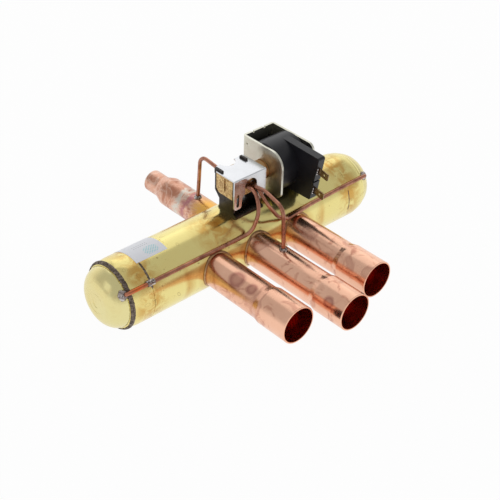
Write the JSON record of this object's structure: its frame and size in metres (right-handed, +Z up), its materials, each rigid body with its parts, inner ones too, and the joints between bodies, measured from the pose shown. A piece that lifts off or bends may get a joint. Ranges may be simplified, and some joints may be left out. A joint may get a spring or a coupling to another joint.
{
  "type": "four way reversing valve",
  "caption": "Solenoid piloted four way reversing valve: brass body with welded end caps, brazed copper line tubes, capillaries, pilot valve with coil, and the piston and slide train inside.",
  "frame": {"origin": "under the middle of the footprint's bounding box, on the surface the valve lies on, which the body tube touches along its underside", "axes": "+X along the valve body towards the end that the coil points to, -Y out of the three parallel line tubes, +Z up through the pilot valve"},
  "size_m": [0.2788, 0.241, 0.0998],
  "materials": {
    "body_brass": "polished",
    "cap_brass": "satin",
    "weld": "rough, darkened by heat",
    "seat_brass": "satin",
    "line_copper": "polished copper",
    "discharge_copper": "copper, mottled by heat",
    "capillary_copper": "dull copper",
    "braze": "satin",
    "silver_braze": "rough",
    "black_steel": "black, satin",
    "galvanised": "galvanised",
    "pilot_brass": "mottled, satin",
    "collar_bronze": "satin",
    "stainless": "machined",
    "frame_zinc": "yellow passivated zinc",
    "coil_black": "semi gloss",
    "terminal_brass": "dull",
    "fastener": "zinc plated",
    "slide_nylon": "smooth",
    "piston_brass": "machined",
    "seal_ptfe": "smooth",
    "label_film": "satin film"
  },
  "bodies": {
    "valve": {"body_tube": "body_brass", "end_sleeve_left": "body_brass", "end_sleeve_right": "body_brass", "end_cap_left": "cap_brass", "end_cap_right": "cap_brass", "weld_bead_left": "weld", "weld_bead_right": "weld", "valve_seat": "seat_brass", "pilot_seat": "seat_brass", "evaporator_tube": "line_copper", "suction_tube": "line_copper", "condenser_tube": "line_copper", "discharge_tube": "discharge_copper", "capillary_left": "capillary_copper", "capillary_right": "capillary_copper", "capillary_suction": "capillary_copper", "capillary_discharge": "capillary_copper", "line_braze_rings": "braze", "capillary_braze": "silver_braze", "pilot_bracket": "black_steel", "pilot_cover": "galvanised", "pilot_body": "pilot_brass", "stem_collar": "collar_bronze", "core_tube": "stainless", "fixed_core": "stainless", "plunger_spring": "stainless", "coil_frame": "frame_zinc", "coil_moulding": "coil_black", "terminal_upper": "terminal_brass", "terminal_lower": "terminal_brass", "coil_screw": "fastener", "coil_washer": "fastener", "label": "label_film"},
    "main_slide": {"slide_block": "slide_nylon", "slide_spring": "stainless", "slide_carrier": "stainless", "piston_screws": "fastener", "piston_left": "piston_brass", "piston_right": "piston_brass", "piston_seal_left": "seal_ptfe", "piston_seal_right": "seal_ptfe", "piston_retainer_left": "piston_brass", "piston_retainer_right": "piston_brass"},
    "pilot_plunger": {"plunger": "stainless", "pilot_slide": "slide_nylon"}
  },
  "joints": [
    {"name": "main_shift", "type": "slide", "parent": "valve", "child": "main_slide", "axis": [1, 0, 0], "range_m": [0, 0.0426]},
    {"name": "pilot_pull", "type": "slide", "parent": "valve", "child": "pilot_plunger", "axis": [1, 0, 0], "range_m": [0, 0.004], "stiffness_N_per_m": 300, "springref_m": -0.006, "deforming": ["plunger_spring"]}
  ]
}
